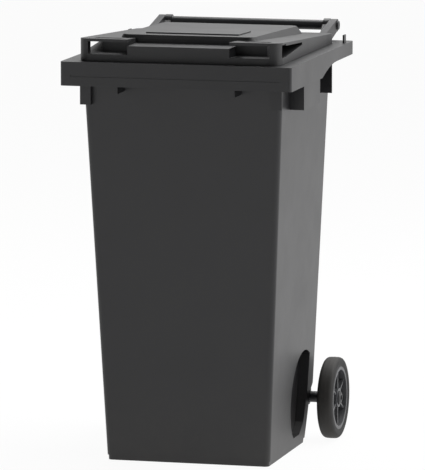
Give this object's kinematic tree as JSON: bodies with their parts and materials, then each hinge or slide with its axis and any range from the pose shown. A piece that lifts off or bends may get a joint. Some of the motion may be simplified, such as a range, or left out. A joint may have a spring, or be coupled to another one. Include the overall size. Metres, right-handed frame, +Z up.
{
  "type": "two-wheeled refuse bin",
  "caption": "Tall tapered refuse bin with a hinged lid with corner grips, a rear grip bar, a ribbed lifting rim and rubber-tyred wheels on a steel axle.",
  "frame": {"origin": "on the floor, midway across the bin and midway between the front of the rim and the back of the handle", "axes": "+Z up, the front of the bin towards -Y, X across the bin"},
  "size_m": [0.58, 0.73, 1.0604],
  "materials": {
    "container": "satin moulded polyethylene",
    "lid": "satin moulded polyethylene",
    "handle": "satin",
    "hinge_pin": "satin",
    "axle": "zinc plated",
    "sleeve": "satin",
    "tyre": "solid rubber",
    "wheel_rim": "satin",
    "bush": "plain",
    "hub_cap": "satin",
    "lock_pin": "plain",
    "spring": "plain"
  },
  "bodies": {
    "frame": {"container": "container", "handle_tube": "handle", "hinge_pin_left": "hinge_pin", "hinge_pin_right": "hinge_pin", "axle": "axle", "axle_sleeve_left": "sleeve", "axle_sleeve_right": "sleeve"},
    "lid": {"lid": "lid"},
    "wheel_left": {"tyre_left": "tyre", "wheel_rim_left": "wheel_rim", "hub_bush_left": "bush", "hub_cap_left": "hub_cap", "lock_spring_left": "spring"},
    "wheel_right": {"tyre_right": "tyre", "wheel_rim_right": "wheel_rim", "hub_bush_right": "bush", "hub_cap_right": "hub_cap", "lock_spring_right": "spring"},
    "lock_left": {"lock_pin_left": "lock_pin"},
    "lock_right": {"lock_pin_right": "lock_pin"}
  },
  "joints": [
    {"name": "lid_hinge", "type": "hinge", "parent": "frame", "child": "lid", "pos_m": [0, 0.348, 1.031], "axis": [-1, 0, 0], "range_deg": [0, 265]},
    {"name": "wheel_spin_left", "type": "hinge", "parent": "frame", "child": "wheel_left", "pos_m": [0, 0.195, 0.103], "axis": [1, 0, 0], "continuous": true},
    {"name": "wheel_spin_right", "type": "hinge", "parent": "frame", "child": "wheel_right", "pos_m": [0, 0.195, 0.103], "axis": [1, 0, 0], "continuous": true},
    {"name": "lock_slide_left", "type": "slide", "parent": "wheel_left", "child": "lock_left", "axis": [0, 0, 1], "range_m": [0, 0.002], "stiffness_N_per_m": 400, "springref_m": -0.002, "deforming": ["lock_spring_left"]},
    {"name": "lock_slide_right", "type": "slide", "parent": "wheel_right", "child": "lock_right", "axis": [0, 0, 1], "range_m": [0, 0.002], "stiffness_N_per_m": 400, "springref_m": -0.002, "deforming": ["lock_spring_right"]}
  ]
}
